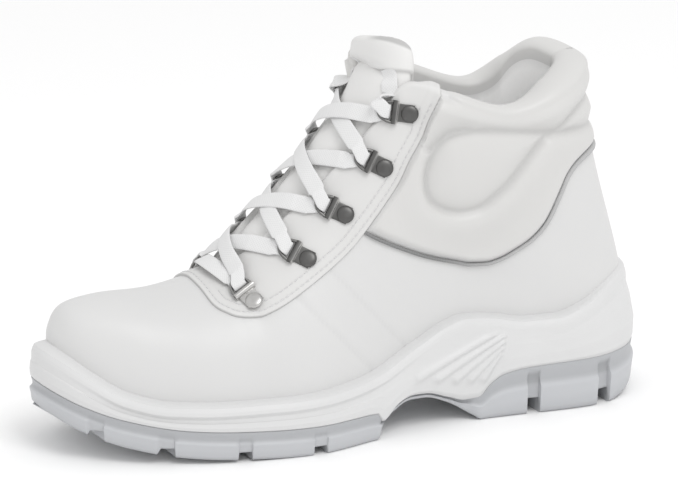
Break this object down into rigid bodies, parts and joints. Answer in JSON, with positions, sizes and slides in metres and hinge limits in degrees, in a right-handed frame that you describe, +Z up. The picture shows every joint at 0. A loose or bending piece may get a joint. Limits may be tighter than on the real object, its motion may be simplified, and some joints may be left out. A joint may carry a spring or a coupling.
{
  "type": "safety boot",
  "caption": "Lace-up ankle safety boot for the left foot: hollow padded upper with tongue, D-ring lacing and piping, on a cupped midsole and a cleated outsole.",
  "frame": {"origin": "middle of the boot's length and breadth, on the ground under the tread", "axes": "+X from heel to toe, +Y towards the wearer's left, which is the outer side, +Z up"},
  "size_m": [0.3, 0.1052, 0.1792],
  "materials": {
    "outsole": "light grey moulded polyurethane, matt",
    "midsole": "white moulded polyurethane foam, satin",
    "insole": "grey felt footbed, matt",
    "upper": "white smooth leather, semi-matt",
    "eyestay": "white stitched leather, semi-matt",
    "tongue": "warm white padded leather, semi-matt",
    "piping": "grey piping cord, matt",
    "lace": "white flat woven lace, matt",
    "clip": "dark nickel-plated steel",
    "d_ring": "bright nickel-plated wire"
  },
  "bodies": {
    "root": {"outsole": "outsole", "midsole": "midsole", "insole": "insole", "upper": "upper", "eyestay": "eyestay", "tongue": "tongue", "piping": "piping", "lace": "lace", "clip_lateral_1": "clip", "clip_lateral_2": "clip", "clip_lateral_3": "clip", "clip_lateral_4": "clip", "clip_lateral_5": "clip", "clip_medial_1": "clip", "clip_medial_2": "clip", "clip_medial_3": "clip", "clip_medial_4": "clip", "clip_medial_5": "clip", "d_ring_lateral_1": "d_ring", "d_ring_lateral_2": "d_ring", "d_ring_lateral_3": "d_ring", "d_ring_lateral_4": "d_ring", "d_ring_lateral_5": "d_ring", "d_ring_medial_1": "d_ring", "d_ring_medial_2": "d_ring", "d_ring_medial_3": "d_ring", "d_ring_medial_4": "d_ring", "d_ring_medial_5": "d_ring"}
  },
  "joints": []
}
